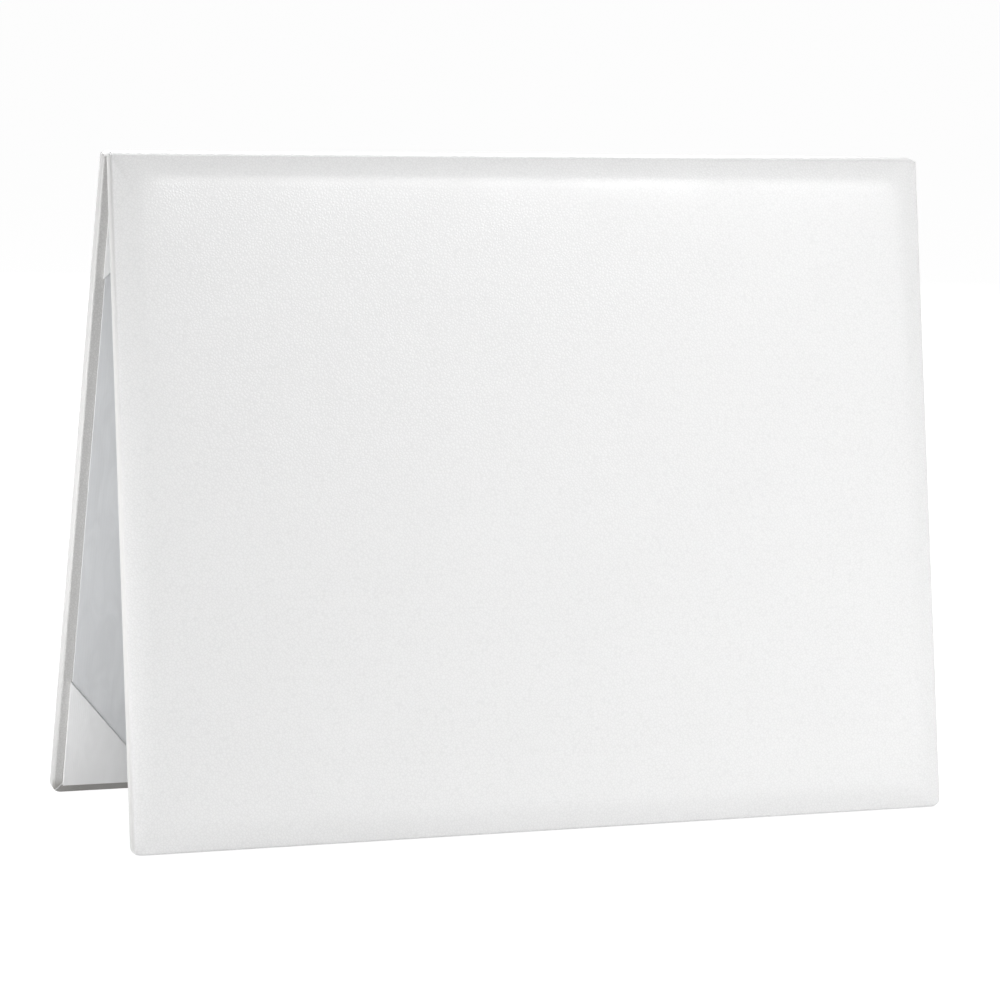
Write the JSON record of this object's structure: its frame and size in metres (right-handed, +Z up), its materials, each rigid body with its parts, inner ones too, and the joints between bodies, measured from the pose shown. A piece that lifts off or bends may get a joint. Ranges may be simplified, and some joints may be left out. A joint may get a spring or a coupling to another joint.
{
  "type": "diploma cover",
  "caption": "Padded leatherette document cover standing as a tent, with a lined inside and ribbon corners that hold a sheet.",
  "frame": {"origin": "centre of the standing cover's footprint, on the floor", "axes": "+X along the fold, +Z up, the front cover towards -Y and the back cover towards +Y"},
  "size_m": [0.298, 0.1012, 0.2271],
  "materials": {
    "leatherette": "fine pebble grain, soft semi-gloss",
    "greyboard": "matte, fibrous",
    "foam": "matte, open-celled",
    "liner_paper": "smooth, with a faint watered pattern",
    "ribbon": "ribbed satin"
  },
  "bodies": {
    "front_cover": {"front_wrap": "leatherette", "front_padding": "foam", "front_board": "greyboard", "front_liner": "liner_paper"},
    "spine": {"spine_wrap": "leatherette", "spine_lining": "liner_paper"},
    "back_cover": {"back_wrap": "leatherette", "back_padding": "foam", "back_board": "greyboard", "back_liner": "liner_paper", "corner_pocket_bottom_left": "ribbon", "corner_pocket_bottom_right": "ribbon", "corner_pocket_top_left": "ribbon", "corner_pocket_top_right": "ribbon"}
  },
  "joints": [
    {"name": "front_fold", "type": "hinge", "parent": "front_cover", "child": "spine", "pos_m": [0, -0.0057, 0.22556], "axis": [1, 0, 0], "range_deg": [-11, 79]},
    {"name": "back_fold", "type": "hinge", "parent": "spine", "child": "back_cover", "pos_m": [0, 0.0057, 0.22556], "axis": [1, 0, 0], "range_deg": [-11, 79]}
  ],
  "couplings": [
    {"joint": "back_fold", "follows": "front_fold", "ratio": 1}
  ]
}
